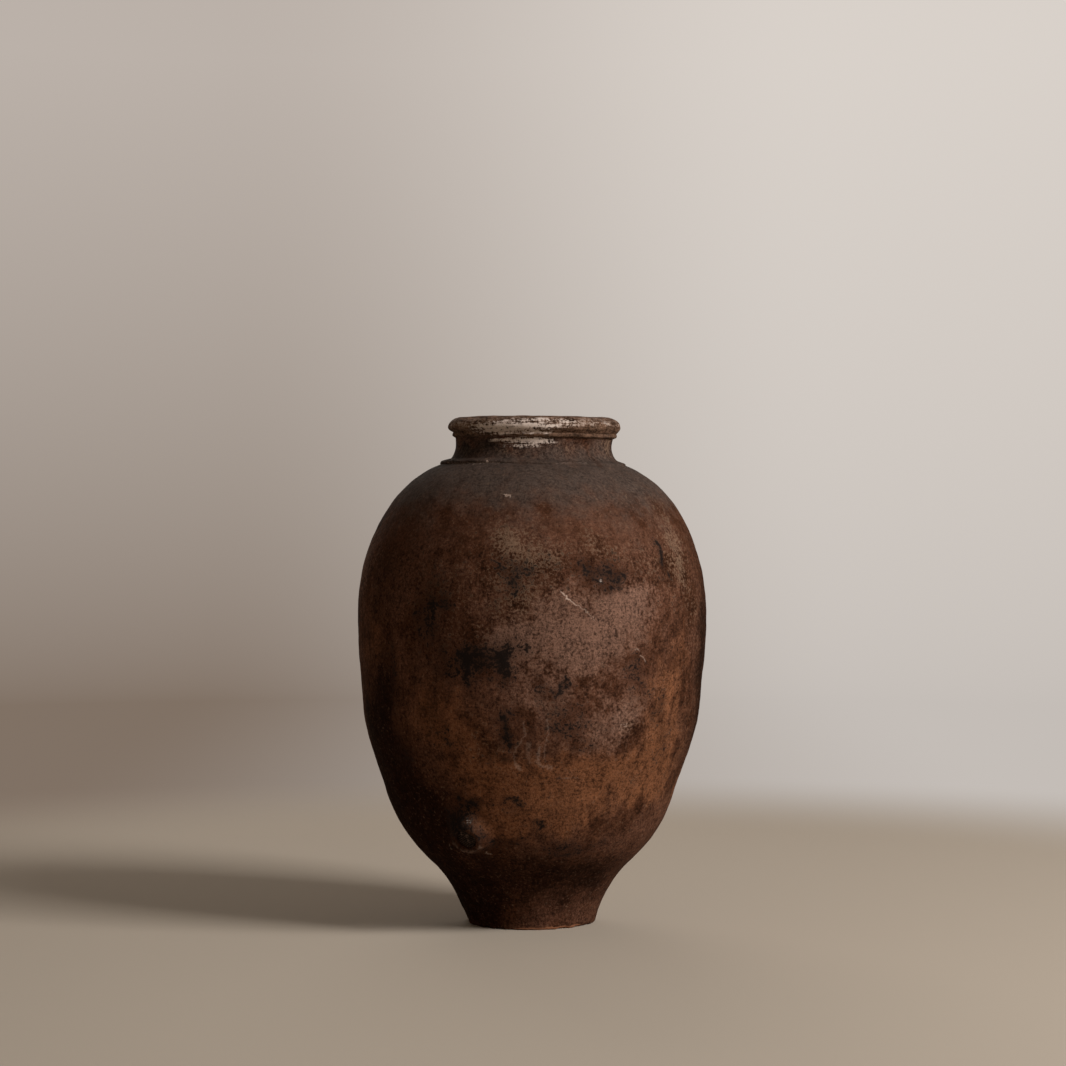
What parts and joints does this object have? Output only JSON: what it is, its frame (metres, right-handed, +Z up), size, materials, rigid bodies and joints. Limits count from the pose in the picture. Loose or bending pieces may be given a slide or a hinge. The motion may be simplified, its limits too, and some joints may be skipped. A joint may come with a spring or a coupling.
{
  "type": "olive jar",
  "caption": "Tall egg-shaped earthenware storage jar with flared foot, waisted neck, rolled lip and a low tap boss stopped by a bung.",
  "frame": {"origin": "centre of the foot's flat underside, on the ground", "axes": "+Z up along the jar's axis to the mouth; -Y to the front of the jar as pictured; +X to the viewer's right. The tap is 26.6 degrees round from the front, on the viewer's left."},
  "size_m": [0.6219, 0.622, 0.9],
  "materials": {
    "fired_clay": "unglazed, weathered, matt",
    "limed_clay": "unglazed, matt, with old lime on the front",
    "bung_wood": "old end grain, darkened by oil"
  },
  "bodies": {
    "jar": {"base_slab": "fired_clay", "foot": "fired_clay", "lower_bowl": "fired_clay", "lower_wall": "fired_clay", "lower_belly": "fired_clay", "upper_belly": "fired_clay", "shoulder": "fired_clay", "neck": "fired_clay", "neck_ring": "fired_clay", "tap_boss": "fired_clay", "rim": "limed_clay"},
    "bung": {"bung": "bung_wood"}
  },
  "joints": [
    {"name": "bung_pull", "type": "slide", "parent": "jar", "child": "bung", "axis": [-0.3916, -0.782, -0.4849], "range_m": [0, 0.075]}
  ]
}
